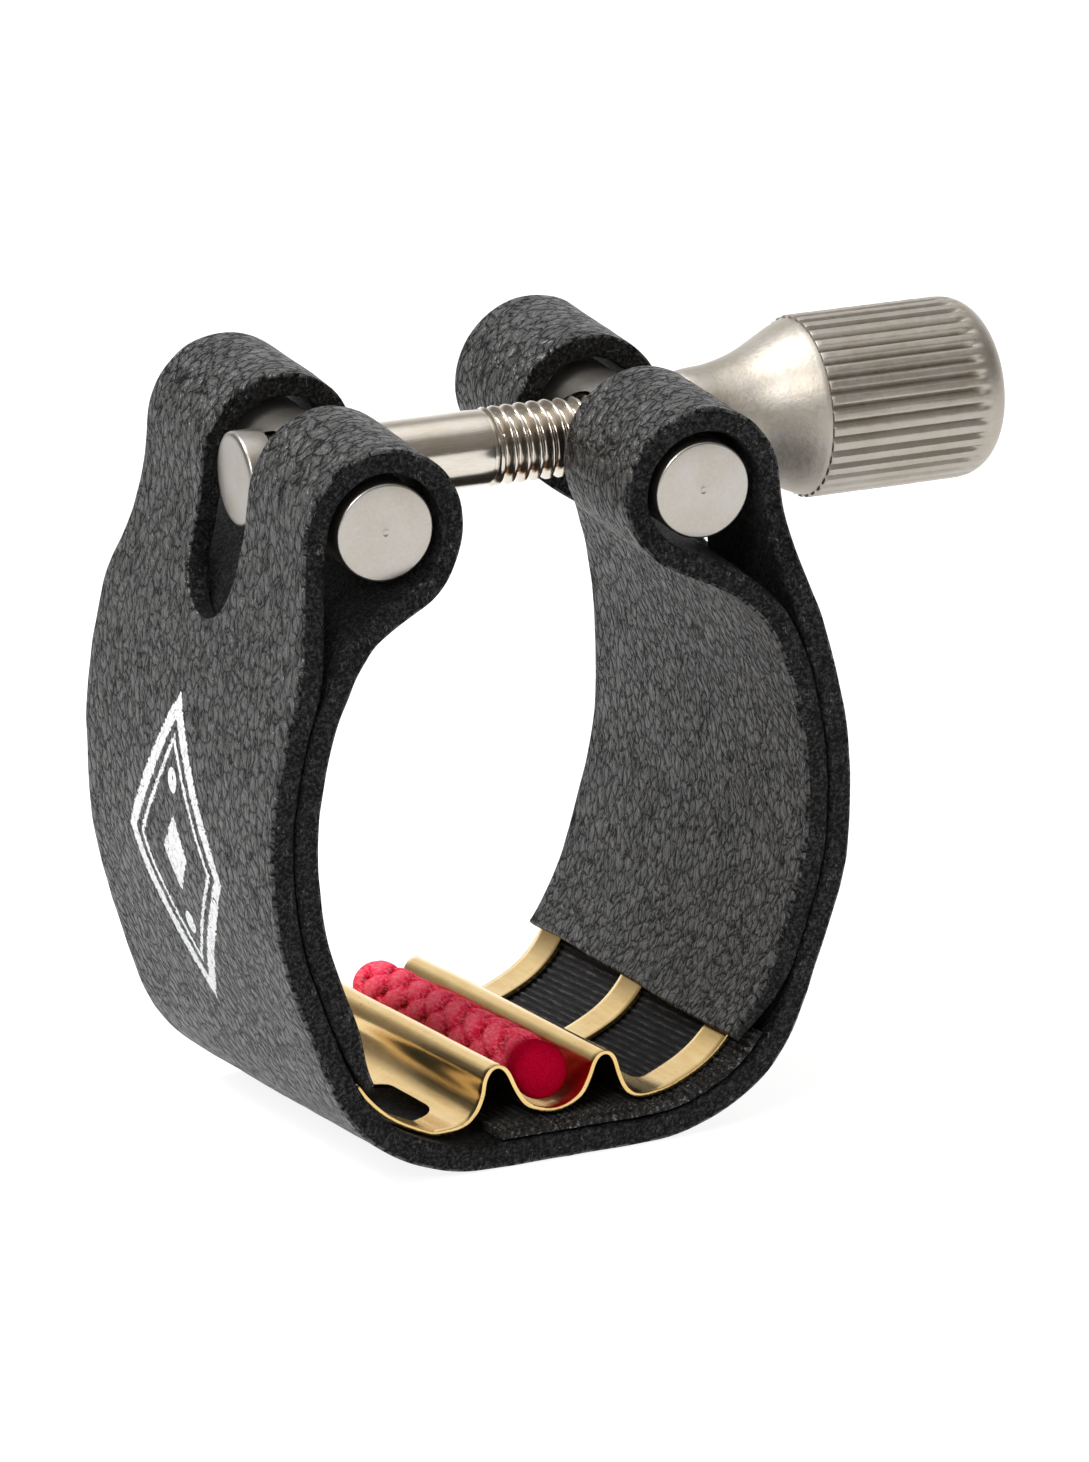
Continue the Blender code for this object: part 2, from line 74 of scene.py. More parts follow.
# The strap, in millimetres. OUTER_SIDE is the right half of its outer face as (x, height).
LEATHER = 1.2
BASE_LEATHER = 1.35
LAYER_GAP = 0.1
LOOP_RADIUS = 4.16
LOOP_START = math.radians(4.0)
LOOP_END = math.radians(250.0)
KNUCKLE_HALF_WIDTH = 10.86
FRONT_FLARE = 3.2
REAR_FLARE = 2.2
OUTER_SIDE = [
    (0.0, 0.0), (2.0, 0.0), (4.0, 0.0), (5.7, 0.12), (7.4, 0.55), (9.6, 1.65), (11.3, 3.2),
    (12.5, 5.2), (13.5, 7.9), (14.25, 10.1), (14.95, 12.6), (15.4, 14.8), (15.62, 17.2),
    (15.62, 19.8), (15.38, 22.3), (15.0, 24.4), (14.5, 26.4), (13.95, 28.4), (13.4, 30.5),
    (12.95, 32.4), (12.65, 34.2),
]
# The base and the arm part at this point of the outer face.
SPLIT_POINT = (12.5, 5.2)
SPAN_STEPS = 12
LINING_TOP = 24.4
FOLD_BACK = [(8.8, 30.75), (10.2, 29.95), (11.35, 28.8), (12.15, 27.3), (12.75, 25.6)]
SLOT_HALF_WIDTH = 3.0
SLOT_BOTTOM_HEIGHT = 27.84
SLOT_INNER_ANGLE = math.radians(243.0)
LAP_SKEW = 0.42
# Each lining end: how far past the split it reaches, its middle line's depth and its half thickness.
LAP = {-1: (0.63, 1.75, 0.28), 1: (2.6, 2.72, 0.26)}

# The ornament's centre and half size on the strap's flat, as (across, along).
ORNAMENT_CENTRE = (0.0, 24.6)
ORNAMENT_HALF = (6.4, 8.2)

# The webbing, which stops short of each split point by its gap, and the reed plate and cord.
WEBBING = 0.45
WEBBING_LEFT_GAP = 9.1
WEBBING_RIGHT_GAP = 1.0
RIB_PITCH = 0.40
RIB_HEIGHT = 0.06
CAD_SHEET = 0.28
SHEET = 0.20
PLATE_RIDGES = [
    (-5.3, 2.12), (-4.5, 2.62), (-4.02, 3.45), (-3.8, 4.3), (-3.42, 4.82), (-2.95, 4.88),
    (-2.55, 4.45), (-2.2, 3.6), (-1.7, 2.78), (-0.95, 2.36), (-0.2, 2.22), (0.6, 2.38),
    (1.35, 2.85), (1.85, 3.65), (2.15, 4.3), (2.5, 4.68), (2.95, 4.7), (3.25, 4.3),
    (3.45, 3.5), (3.75, 2.75), (4.2, 2.32), (4.8, 2.2),
]
PLATE_FRONT_Y = -12.4
PLATE_REAR_Y = 12.5
PLATE_LEFT_TRIM = 0.6
FINGER_WIDTH = 2.8
FINGER_ROOT_X = 5.6
GAP_CORNER = 0.35
WINDOW_X = (-10.3, -5.15)
WINDOW_CORNER = 1.9
LEFT_BEND_X = -6.6
PLATE_END_GAP = 0.3
CORD_RADIUS = 1.45

# The pins, screw and knob.
PIN_RADIUS = 2.5
PIN_LENGTH = 21.7
BORE_RADIUS = 2.15
SEAT_X = -10.4
SEAT_RADIUS = 2.8
SHANK_RADIUS = 1.95
THREAD_START = 1.4
THREAD_END = 11.7
THREAD_PITCH = 0.7
THREAD_DEPTH = 0.42
CAP_RADIUS = 2.4
KNOB_RADIUS = 4.7
KNURL_START = 18.6
KNURL_END = 27.0
KNURL_RIBS = 36

# The stage. The camera's place, target and lens are in millimetres.
CAMERA_PLACE = (-132.05, -329.02, 91.84)
CAMERA_TARGET = (5.756, 0.0, 18.742)
CAMERA_LENS = 174.07
CAMERA_ROLL = math.radians(-3.567)
FLOOR_HALF = 6000.0
# The strap's underside waves by a few hundredths of a millimetre, so the floor is just below zero.
FLOOR_HEIGHT = -0.06


# ---- lines and grids


def smooth_step(value, low, high):
    """0 below low and 1 above high, with a smooth rise between them."""
    t = np.clip((np.asarray(value, float) - low) / (high - low), 0.0, 1.0)
    return t * t * (3.0 - 2.0 * t)


def catmull_rom(points, per_span):
    """A smooth line through the points, with per_span steps from each point to the next."""
    points = np.asarray(points, float)
    padded = np.vstack([2 * points[0] - points[1], points, 2 * points[-1] - points[-2]])
    steps = np.arange(per_span)[:, None] / per_span
    spans = []
    for a, b, c, d in zip(padded, padded[1:], padded[2:], padded[3:]):
        spans.append(0.5 * (2 * b + (c - a) * steps + (2 * a - 5 * b + 4 * c - d) * steps ** 2
                            + (3 * b - a - 3 * c + d) * steps ** 3))
    return np.vstack([*spans, points[-1:]])


def left_normals(line):
    """The unit normal on the left of the direction of travel, at each point."""
    along = np.gradient(line, axis=0)
    along /= np.linalg.norm(along, axis=1)[:, None]
    return np.column_stack([-along[:, 1], along[:, 0]])


def travel(line):
    """The distance travelled along the line at each point."""
    return np.concatenate([[0.0], np.cumsum(np.linalg.norm(np.diff(line, axis=0), axis=1))])


def resampled(line, places):
    """The line's points at distances along it."""
    way = travel(line)
    return np.column_stack([np.interp(places, way, line[:, axis]) for axis in range(line.shape[1])])


def smoothed(line, reach, step=0.05):
    """The line at an even step, with its kinks rounded over about twice the reach."""
    even = resampled(line, np.arange(0.0, travel(line)[-1], step))
    count = int(reach / step)
    kernel = np.hanning(2 * count + 3)[1:-1]
    kernel /= kernel.sum()
    padded = np.vstack([2 * even[0] - even[count:0:-1], even, 2 * even[-1] - even[-2:-count - 2:-1]])
    return np.column_stack([np.convolve(padded[:, axis], kernel, "valid")
                            for axis in range(line.shape[1])])


def pitch_at(height):
    """The lean of the strap's width, which grows from level at the base to the pins' own."""
    return PIN_PITCH * smooth_step(height, 4.0, 27.0)


def taper_at(height):
    """The share of the strap's flare, which is 1 at the base and 0 at the knuckles."""
    return 1.0 - np.clip((np.asarray(height, float) - 5.0) / 22.0, 0.0, 1.0)


def front_reach(height):
    """How far the strap's front edge is from its middle line."""
    shoulder = 1.0 - smooth_step(height, 27.5, 34.0)
    return KNUCKLE_HALF_WIDTH + FRONT_FLARE * (0.72 * shoulder + 0.28 * taper_at(height))


def rear_reach(height):
    """How far the strap's rear edge is from its middle line."""
    shoulder = 1.0 - smooth_step(height, 26.0, 30.5)
    return KNUCKLE_HALF_WIDTH + REAR_FLARE * (0.64 * shoulder + 0.36 * taper_at(height))


def strap_points(x, height, reach):
    """The places of profile points at distances along the strap's width from its middle line."""
    middle_y = PIN_CENTRE_Y + math.tan(PIN_PITCH) * (PIN_HEIGHT - height)
    pitch = pitch_at(height)
    return np.stack([x + 0 * reach, middle_y + reach * np.cos(pitch),
                     height + reach * np.sin(pitch)], axis=-1)


def wobble(points, size, amount, seed):
    """Moves points by a smooth noise field, so that edges and faces aren't perfectly true."""
    shift = Vector((17.3 * seed, -9.1 * seed, 4.7 * seed))
    moved = points.copy()
    for index, point in enumerate(points):
        moved[index] += np.array(noise.noise_vector(Vector(point) / size + shift)) * amount
    return moved


# ---- objects


def mesh_object(name, points, faces, materials, face_materials=None, uv=None):
    """A smooth-shaded object from points in millimetres."""
    mesh = bpy.data.meshes.new(name)
    mesh.from_pydata((np.asarray(points, float) * MM).tolist(), [], faces)
    for material in materials:
        mesh.materials.append(material)
    if face_materials is not None:
        mesh.polygons.foreach_set("material_index", np.asarray(face_materials, np.int32))
    if uv is not None:
        layer = mesh.uv_layers.new(name="place_mm")
        corners = np.empty(len(mesh.loops), np.int32)
        mesh.loops.foreach_get("vertex_index", corners)
        layer.data.foreach_set("uv", np.asarray(uv, np.float32)[corners].ravel())
    mesh.shade_smooth()
    mesh.validate()
    obj = bpy.data.objects.new(name, mesh)
    bpy.context.scene.collection.objects.link(obj)
    return obj


def smooth_shaded(obj, sharp):
    """Shades the object smooth, and keeps its edges over the angle in degrees sharp."""
    obj.data.shade_smooth()
    obj.data.set_sharp_from_angle(angle=math.radians(sharp))
    return obj


def weld(obj, distance=1e-7):
    """Merges doubled points, makes every face look outwards, and shades it smooth."""
    work = bmesh.new()
    work.from_mesh(obj.data)
    bmesh.ops.remove_doubles(work, verts=work.verts, dist=distance)
    bmesh.ops.recalc_face_normals(work, faces=work.faces)
    work.to_mesh(obj.data)
    work.free()
    obj.data.shade_smooth()
    return obj


def grid_faces(rows, columns, start=0, closed=False):
    """Quads between points numbered row by row; closed joins the last column to the first."""
    faces = []
    for row in range(rows - 1):
        for column in range(columns if closed else columns - 1):
            following = (column + 1) % columns
            a = start + row * columns
            faces.append((a + column, a + following, a + columns + following, a + columns + column))
    return faces


def slab_faces(rows, columns):
    """The faces of a closed slab, whose upper grid of points comes before its lower one."""
    count = rows * columns
    faces = grid_faces(rows, columns) + grid_faces(rows, columns, count)
    for row in range(rows - 1):
        for column in (0, columns - 1):
            a = row * columns + column
            faces.append((a, a + columns, a + columns + count, a + count))
    for row in (0, rows - 1):
        for column in range(columns - 1):
            a = row * columns + column
            faces.append((a, a + 1, a + 1 + count, a + count))
    return faces


def turned(name, rows, columns, material, centre, shape=None, sharp=35.0):
    """A closed turned piece along X from (x, radius) rows; shape(x, angle) adds to the radius."""
    rows = np.asarray(rows, float)
    angles = np.linspace(0.0, math.tau, columns, endpoint=False)
    x = np.repeat(rows[:, 0], columns).reshape(len(rows), columns)
    radius = np.repeat(rows[:, 1], columns).reshape(len(rows), columns)
    if shape is not None:
        radius = radius + shape(x, angles[None, :] + 0 * x)
    points = np.stack([x, radius * np.sin(angles), radius * np.cos(angles)], axis=-1)
    points = points.reshape(-1, 3)
    faces = grid_faces(len(rows), columns, closed=True)
    faces.append(tuple(range(columns)))
    faces.append(tuple(range(len(points) - columns, len(points))))
    return smooth_shaded(weld(mesh_object(name, points + np.asarray(centre), faces, [material])), sharp)


def apply_modifiers(obj):
    """Replaces the object's mesh with what its modifiers make of it."""
    graph = bpy.context.evaluated_depsgraph_get()
    made = bpy.data.meshes.new_from_object(obj.evaluated_get(graph))
    obj.modifiers.clear()
    obj.data = made
    return obj


def cut_with(obj, *cutters):
    """Cuts the cutters out of the object and removes them."""
    for cutter in cutters:
        modifier = obj.modifiers.new("cut", "BOOLEAN")
        modifier.operation = "DIFFERENCE"
        modifier.solver = "EXACT"
        modifier.object = cutter
    apply_modifiers(obj)
    for cutter in cutters:
        bpy.data.objects.remove(cutter)
    return obj


# ---- materials


class Nodes:
    """A material's node tree, with short calls to add and link nodes."""

    def __init__(self, name):
        self.material = bpy.data.materials.new(name)
        self.material.use_nodes = True
        self.tree = self.material.node_tree
        self.shader = self.tree.nodes["Principled BSDF"]

    def add(self, kind, **inputs):
        """A shader node; each input is a value or a socket to link, with _ for a space."""
        node = self.tree.nodes.new("ShaderNode" + kind)
        for key, value in inputs.items():
            self.feed(node, key.replace("_", " "), value)
        return node

    def feed(self, node, key, value):
        socket = node.inputs[int(key) if key.isdigit() else key]
        if isinstance(value, bpy.types.NodeSocket):
            self.tree.links.new(value, socket)
        else:
            socket.default_value = value

    def set(self, **inputs):
        for key, value in inputs.items():
            self.feed(self.shader, key.replace("_", " "), value)

    def flat(self):
        """The piece's own flat coordinates in millimetres, as (across, along)."""
        source = self.add("UVMap")
        source.uv_map = "place_mm"
        return source.outputs["UV"]

    def place(self, scale=(1.0, 1.0, 1.0)):
        """The object's coordinates in millimetres, times the scale."""
        source = self.add("TexCoord")
        per_metre = [1000.0 * value for value in scale]
        return self.add("Mapping", Vector=source.outputs["Object"], Scale=per_metre).outputs["Vector"]

    def noise(self, vector, scale, detail=2.0, roughness=0.5, distortion=0.0):
        node = self.add("TexNoise", Vector=vector, Scale=scale, Detail=detail,
                        Roughness=roughness, Distortion=distortion)
        return node.outputs["Fac"]

    def math(self, operation, a, b=0.0, clamp=False):
        node = self.tree.nodes.new("ShaderNodeMath")
        node.operation = operation
        node.use_clamp = clamp
        self.feed(node, "0", a)
        self.feed(node, "1", b)
        return node.outputs[0]

    def weighted(self, a, share_a, b, share_b):
        """The sum of two values, each times its share."""
        return self.math("ADD", self.math("MULTIPLY", a, share_a), self.math("MULTIPLY", b, share_b))

    def scaled(self, value, factor, offset):
        """The value times the factor, plus the offset."""
        return self.math("ADD", self.math("MULTIPLY", value, factor), offset)

    def ramp(self, value, stops):
        """A colour ramp from (position, colour or grey) stops."""
        node = self.add("ValToRGB", Fac=value)
        ramp = node.color_ramp
        while len(ramp.elements) < len(stops):
            ramp.elements.new(1.0)
        for element, (position, colour) in zip(ramp.elements, stops):
            element.position = position
            if isinstance(colour, (int, float)):
                colour = (colour, colour, colour)
            element.color = (*colour, 1.0)
        return node.outputs["Color"]

    def mix(self, share, a, b):
        node = self.tree.nodes.new("ShaderNodeMix")
        node.data_type = "RGBA"
        self.feed(node, "0", share)
        for index, value in ((6, a), (7, b)):
            if isinstance(value, tuple) and len(value) == 3:
                value = (*value, 1.0)
            self.feed(node, str(index), value)
        return node.outputs[2]

    def bump(self, height, distance_mm, strength=1.0, under=None):
        node = self.add("Bump", Height=height, Distance=distance_mm * MM, Strength=strength)
        if under is not None:
            self.tree.links.new(under, node.inputs["Normal"])
        return node.outputs["Normal"]


def ornament_mask(n):
    """1 on the printed ornament: a double lozenge round a solid diamond, with a dot above and below."""
    split = n.add("SeparateXYZ", Vector=n.flat())
    ragged = n.math("MULTIPLY", n.noise(n.flat(), 5.0, 2.0), 0.11)
    u = n.math("ABSOLUTE", n.math("SUBTRACT", split.outputs["X"], ORNAMENT_CENTRE[0]))
    v = n.math("ABSOLUTE", n.math("SUBTRACT", split.outputs["Y"], ORNAMENT_CENTRE[1]))
    reach = n.math("ADD", n.math("DIVIDE", u, ORNAMENT_HALF[0]), n.math("DIVIDE", v, ORNAMENT_HALF[1]))
    reach = n.math("ADD", reach, ragged)

    def band(low, high):
        return n.math("MULTIPLY", n.math("GREATER_THAN", reach, low), n.math("LESS_THAN", reach, high))

    away = n.math("SUBTRACT", v, 0.46 * ORNAMENT_HALF[1])
    dot = n.math("SQRT", n.math("ADD", n.math("MULTIPLY", u, u), n.math("MULTIPLY", away, away)))
    dot = n.math("LESS_THAN", n.math("ADD", dot, ragged), 0.68)
    mask = n.math("MAXIMUM", band(0.90, 1.06), band(0.74, 0.80))
    return n.math("MAXIMUM", n.math("MAXIMUM", mask, n.math("LESS_THAN", reach, 0.30)), dot)


def leather_grain(n, lean):
    """Height of the leather's creased cells, which lean away from the strap's length, in degrees."""
    turn = n.add("Mapping", Vector=n.flat(), Rotation=(0.0, 0.0, math.radians(lean)))
    stretch = n.add("Mapping", Vector=turn.outputs["Vector"], Scale=(1.0, 0.74, 1.0))
    place = stretch.outputs["Vector"]
    warp = n.add("TexNoise", Vector=place, Scale=1.3, Detail=3.0, Roughness=0.6)
    shift = n.add("VectorMath", **{"0": warp.outputs["Color"], "1": (0.9, 0.9, 0.0)})
    shift.operation = "MULTIPLY"
    moved = n.add("VectorMath", **{"0": place, "1": shift.outputs[0]})
    moved.operation = "ADD"
    moved = moved.outputs[0]
    levels = []
    for scale, gain in ((1.65, 2.6), (3.4, 2.3)):
        cells = n.add("TexVoronoi", Vector=moved, Scale=scale, Randomness=1.0)
        cells.feature = "DISTANCE_TO_EDGE"
        near = n.math("MULTIPLY", cells.outputs["Distance"], gain, clamp=True)
        levels.append(n.math("POWER", near, 0.55))
    fine = n.noise(moved, 3.0, 1.0, 0.4)
    broad = n.noise(place, 0.4, 3.0, 0.55)
    grain = n.weighted(levels[0], 0.56, levels[1], 0.30)
    return n.math("ADD", grain, n.math("MULTIPLY", fine, 0.12)), broad


def leather_material(name, lean, printed=False):
    """Black grained leather, with the printed ornament on it where it is asked for."""
    n = Nodes(name)
    grain, broad = leather_grain(n, lean)
    # The creases are painted darker than the cells' tops, as painted shade for the shade of their own
    # sides.
    shade = n.weighted(grain, 0.85, broad, 0.15)
    colour = n.ramp(shade, [(0.28, (0.002, 0.002, 0.002)), (0.56, (0.012, 0.012, 0.0117)),
                            (0.84, (0.023, 0.0227, 0.0220))])
    roughness = n.scaled(grain, -0.16, 0.52)
    # Creases keep their gloss low, as they are shaded by their own sides.
    gloss = n.ramp(grain, [(0.26, 0.06), (0.66, 0.85)])
    if printed:
        mask = ornament_mask(n)
        # The ink misses the deepest creases.
        mask = n.math("MULTIPLY", mask, n.math("GREATER_THAN", grain, 0.22))
        colour = n.mix(mask, colour, (0.80, 0.81, 0.83))
    n.set(Base_Color=colour, Roughness=roughness, Specular_IOR_Level=gloss)
    coarse = n.bump(broad, 0.35, 0.8)
    n.set(Normal=n.bump(grain, 0.24, 1.0, under=coarse))
    return n.material


def cut_edge_material():
    """The strap's cut edges and flesh side: matt black fibre with clusters of pale lint."""
    n = Nodes("leather_cut_edge")
    place = n.place()
    fibre = n.noise(place, 2.2, 6.0, 0.78, 0.5)
    grit = n.noise(place, 5.5, 4.0, 0.75)
    lint = n.noise(n.place((1.1, 1.3, 0.55)), 5.0, 4.0, 0.8, 0.6)
    lint = n.ramp(lint, [(0.58, 0.0), (0.66, 1.0)])
    cluster = n.ramp(n.noise(place, 0.8, 3.0, 0.6), [(0.46, 0.0), (0.58, 1.0)])
    lint = n.math("MULTIPLY", lint, cluster)
    height = n.weighted(fibre, 0.5, grit, 0.5)
    shade = n.ramp(height, [(0.44, (0.0008, 0.0008, 0.0008)), (0.60, (0.014, 0.014, 0.0145))])
    colour = n.mix(n.math("MULTIPLY", lint, 0.85), shade, (0.19, 0.19, 0.20))
    gloss = n.ramp(grit, [(0.48, 0.10), (0.62, 0.50)])
    n.set(Base_Color=colour, Roughness=0.50, Specular_IOR_Level=gloss)
    n.set(Normal=n.bump(height, 0.50, 1.0))
    return n.material


def webbing_material():
    """Black ribbed webbing with dusty fibres, and glossy dried glue towards its front edge."""
    n = Nodes("ribbed_webbing")
    place = n.place()
    thread = n.noise(n.place((2.6, 0.35, 2.6)), 2.2, 3.0, 0.6)
    fuzz = n.noise(place, 7.0, 4.0, 0.7)
    along = n.add("SeparateXYZ", Vector=n.flat())
    wave = n.math("SINE", n.math("MULTIPLY", along.outputs["Y"], math.tau / RIB_PITCH))
    shade = n.weighted(thread, 0.6, fuzz, 0.4)
    # The ribs are painted darker in their troughs and lighter on their crests, as painted shade.
    shade = n.math("ADD", shade, n.math("MULTIPLY", wave, 0.085))
    colour = n.ramp(shade, [(0.42, (0.0015, 0.0015, 0.0015)), (0.56, (0.010, 0.010, 0.011)),
                            (0.72, (0.085, 0.085, 0.088))])
    position = n.add("SeparateXYZ", Vector=place)
    front = n.add("MapRange", Value=position.outputs["Y"])
    for index, value in ((1, -10.6), (2, -12.4)):
        front.inputs[index].default_value = value
    glue = n.ramp(n.noise(place, 1.6, 5.0, 0.7), [(0.46, 0.0), (0.52, 1.0)])
    glue = n.math("MULTIPLY", glue, front.outputs[0])
    specks = n.ramp(n.noise(place, 4.5, 4.0, 0.75), [(0.57, 0.0), (0.63, 1.0)])
    specks = n.math("MULTIPLY", specks, front.outputs[0])
    colour = n.mix(n.math("MULTIPLY", specks, 0.8), colour, (0.30, 0.29, 0.27))
    roughness = n.scaled(glue, -0.62, 0.85)
    n.set(Base_Color=colour, Roughness=roughness, Specular_IOR_Level=0.4)
    height = n.math("ADD", shade, n.math("MULTIPLY", glue, fuzz))
    n.set(Normal=n.bump(height, 0.16, 1.0))
    return n.material


def brass_material():
    """Rolled brass sheet: pale gold, smeared along the roll, with small brown specks."""
    n = Nodes("pale_brass")
    place = n.place()
    streaks = n.noise(n.place((1.0, 0.12, 1.0)), 3.0, 4.0, 0.6)
    cloud = n.noise(place, 0.35, 3.0, 0.5)
    speck = n.ramp(n.noise(place, 3.4, 2.0, 0.4), [(0.70, 0.0), (0.74, 1.0)])
    mixed = n.weighted(streaks, 0.5, cloud, 0.5)
    colour = n.ramp(mixed, [(0.36, (0.66, 0.44, 0.16)), (0.60, (0.76, 0.55, 0.24))])
    colour = n.mix(n.math("MULTIPLY", speck, 0.4), colour, (0.34, 0.16, 0.05))
    roughness = n.scaled(streaks, 0.10, 0.11)
    n.set(Base_Color=colour, Metallic=1.0, Roughness=roughness)
    grain = n.math("ADD", streaks, n.math("MULTIPLY", n.noise(place, 14.0, 3.0, 0.6), 0.5))
    n.set(Normal=n.bump(grain, 0.006, 0.7))
    return n.material


def nickel_material(name, rough_low, rough_high, stretch, bump_mm, tint=(0.56, 0.53, 0.485)):
    """Warm nickel plate with tool marks stretched one way and slightly uneven gloss."""
    n = Nodes(name)
    place = n.place()
    marks = n.noise(n.place(stretch), 6.0, 4.0, 0.65)
    cloud = n.noise(place, 0.5, 3.0, 0.55)
    warm = tuple(channel * factor for channel, factor in zip(tint, (0.90, 0.85, 0.77)))
    colour = n.ramp(n.weighted(marks, 0.5, cloud, 0.5),
                    [(0.36, warm), (0.60, tint)])
    spread = rough_high - rough_low
    roughness = n.scaled(marks, spread, rough_low)
    n.set(Base_Color=colour, Metallic=1.0, Roughness=roughness)
    n.set(Normal=n.bump(marks, bump_mm, 0.8))
    return n.material


def cord_material():
    """Crimson plait; a point's "melt" is 1 on the melted front end, and "crown" is its height."""
    n = Nodes("crimson_plait")
    crown = n.add("Attribute")
    crown.attribute_name = "crown"
    melt = n.add("Attribute")
    melt.attribute_name = "melt"
    place = n.place()
    strand = n.noise(n.place((1.0, 0.35, 1.0)), 6.5, 4.0, 0.7, 0.4)
    fuzz = n.noise(place, 11.0, 4.0, 0.7)
    # The lumps are painted darker crimson down in the grooves, as painted shade, and paler on their crowns,
    # as painted highlight.
    body = n.ramp(crown.outputs["Fac"], [(0.30, (0.46, 0.003, 0.022)), (0.75, (0.86, 0.020, 0.075)),
                                         (0.97, (0.95, 0.10, 0.155))])
    # Pale pink streaks along the strands: partly the plait's pale fibres, partly painted highlight.
    light = n.ramp(strand, [(0.46, 0.0), (0.70, 0.60)])
    body = n.mix(light, body, (0.98, 0.36, 0.40))
    melted = n.ramp(fuzz, [(0.3, (0.26, 0.0005, 0.010)), (0.7, (0.50, 0.002, 0.032))])
    colour = n.mix(melt.outputs["Fac"], body, melted)
    roughness = n.scaled(melt.outputs["Fac"], -0.14, 0.80)
    n.set(Base_Color=colour, Roughness=roughness, Specular_IOR_Level=0.0)
    height = n.weighted(strand, 0.7, fuzz, 0.3)
    drip = n.math("MULTIPLY", n.noise(place, 1.7, 2.0, 0.5), melt.outputs["Fac"])
    height = n.math("ADD", height, n.math("MULTIPLY", drip, 2.5))
    n.set(Normal=n.bump(height, 0.07, 0.75))
    return n.material


def floor_material():
    """A grey floor that glows nearly white, so that the object's shadow on it stays faint."""
    n = Nodes("pale_floor")
    cloud = n.noise(n.place(), 0.02, 2.0)
    n.set(Base_Color=n.ramp(cloud, [(0.3, 0.24), (0.7, 0.26)]), Roughness=0.9, Specular_IOR_Level=0.1,
          Emission_Color=(1.0, 1.0, 1.0, 1.0), Emission_Strength=0.88)
    return n.material


# ---- the strap


def strap_line(lap):
    """A half's middle line as (x, height, half thickness), from the base to the lining's end.

    It's drawn for the right half. lap is one side's entry in LAP.
    """
    lap_length, lap_depth, lap_half = lap
    face = catmull_rom(OUTER_SIDE, SPAN_STEPS)
    normals = left_normals(face)
    half = 0.5 * (LEATHER + (BASE_LEATHER - LEATHER) * (1.0 - smooth_step(face[:, 1], 1.5, 8.0)))
    outside = np.column_stack([face + normals * half[:, None], half])
    middle = LOOP_RADIUS - LEATHER / 2
    angles = np.linspace(LOOP_START, LOOP_END, 90)
    loop = np.column_stack([PIN_X + middle * np.cos(angles), PIN_HEIGHT + middle * np.sin(angles),
                            np.full(len(angles), LEATHER / 2)])
    # The lining lies against the outer layer, and its thinned end laps over the plate's fingers.
    way = travel(face)
    split = way[np.argmin(np.abs(face[:, 1] - SPLIT_POINT[1]))]
    thinned = 1.0 - smooth_step(way, split - lap_length, split + 3.6)
    lining_depth = 1.5 * LEATHER + LAYER_GAP
    depth = lining_depth + (lap_depth - lining_depth) * thinned
    half = LEATHER / 2 - (LEATHER / 2 - lap_half) * thinned
    lining = np.column_stack([face + normals * depth[:, None], half])
    lining = lining[(face[:, 1] < LINING_TOP) & (way > split - lap_length)][::-1]
    bridge = catmull_rom([loop[-1, :2], *FOLD_BACK, lining[0, :2]], 10)[1:-1]
    bridge = np.column_stack([bridge, np.full(len(bridge), LEATHER / 2)])
    line = smoothed(np.vstack([outside[:-6], loop, bridge, lining]), 0.7)
    line[0, 0] = 0.0
    return line


def slot_ends(line):
    """How far along the line the slot's two round ends are."""
    way = travel(line[:, :2])
    top = np.argmax(line[:, 1])
    start = way[:top][np.argmin(np.abs(line[:top, 1] - SLOT_BOTTOM_HEIGHT))]
    angle = np.arctan2(line[:, 1] - PIN_HEIGHT, line[:, 0] - PIN_X) % math.tau
    after = np.arange(len(line)) > top
    near = np.where(after, np.abs(angle - SLOT_INNER_ANGLE), 9.0)
    return start, way[np.argmin(near)]


def edge_rounding(distance, half, radius):
    """Half the leather's thickness at a distance from its nearest edge."""
    inward = np.clip(radius - distance, 0.0, radius)
    return half - radius + np.sqrt(np.maximum(radius ** 2 - inward ** 2, 0.0))


def strap_rows(line):
    """Places along the line, closer together at the slot's round ends."""
    start, end = slot_ends(line)
    length = travel(line[:, :2])[-1]
    places = [np.arange(0.0, length, 0.36)]
    curve = SLOT_HALF_WIDTH * (1.0 - np.cos(np.linspace(0.0, math.pi / 2, 12)))
    places.append(start + curve)
    places.append(end - curve)
    for tip, way in ((start, -1), (end, 1)):
        places.append(tip + way * np.array([0.05, 0.12, 0.2, 0.3]))
    places.append(length - np.array([0.0, 0.03, 0.08, 0.15, 0.24]))
    places = np.unique(np.round(np.concatenate(places), 4))
    keep = np.concatenate([[True], np.diff(places) > 0.03])
    for tip in (start, end, length):
        keep[np.argmin(np.abs(places - tip))] = True
    return places[keep]


def panel_reaches(low, high):
    """Places across a panel's width, closer together at both of its edges."""
    near = np.array([0.0, 0.014, 0.04, 0.08, 0.15, 0.30])
    inner = np.linspace(0.0, 1.0, 17)[1:-1]
    scale = min(1.0, (high - low) / (4 * near[-1]))
    start = low + near * scale
    end = high - near[::-1] * scale
    middle = start[-1] + (end[0] - start[-1]) * inner
    return np.concatenate([start, middle, end])


